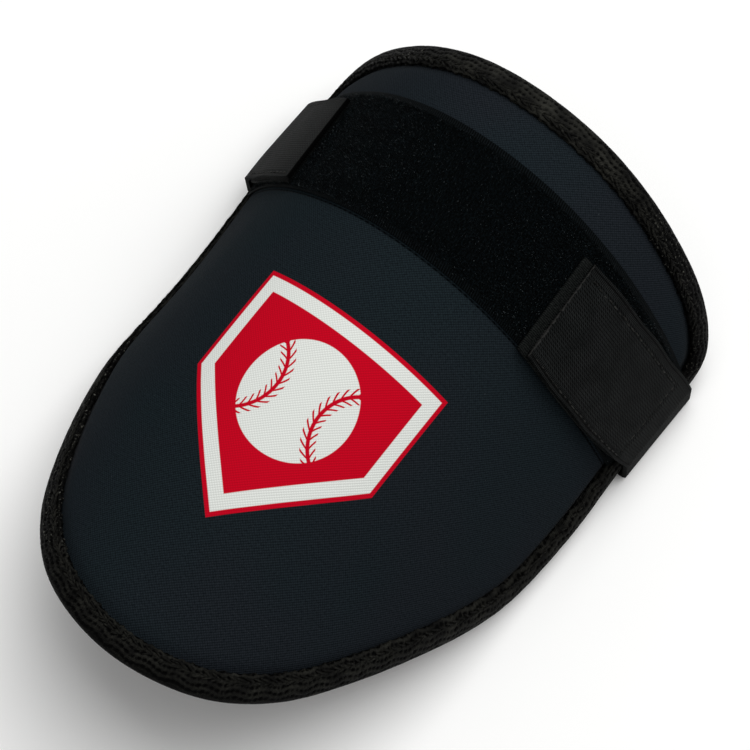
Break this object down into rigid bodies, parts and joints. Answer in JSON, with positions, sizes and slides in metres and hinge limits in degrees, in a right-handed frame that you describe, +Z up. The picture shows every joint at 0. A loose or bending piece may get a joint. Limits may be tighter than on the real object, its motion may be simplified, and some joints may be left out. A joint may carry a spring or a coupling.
{
  "type": "batter's elbow guard",
  "caption": "Deep U-shaped foam elbow guard with a knit cover, bound edge, loop tape across the crown and an elastic hook-ended strap that closes it round a batter's arm.",
  "frame": {"origin": "centre of the guard's box, on the surface that it rests on", "axes": "+X across the guard towards the side of the long tab, +Y along the arm from the rounded tip towards the strap end, +Z up from the resting surface to the crown"},
  "size_m": [0.1444, 0.1926, 0.0853],
  "materials": {
    "knit_covered_foam": "fine charcoal jersey knit laminated to foam",
    "binding_tape": "coarse black woven binding tape",
    "loop_tape": "black brushed loop pile",
    "elastic_webbing": "black ribbed elastic webbing",
    "hook_tape": "black nylon hook tape"
  },
  "bodies": {
    "root": {"guard_pad": "knit_covered_foam", "edge_binding": "binding_tape", "loop_band": "loop_tape", "elastic_strap": "elastic_webbing", "hook_patch_right": "hook_tape", "hook_patch_left": "hook_tape"}
  },
  "joints": []
}
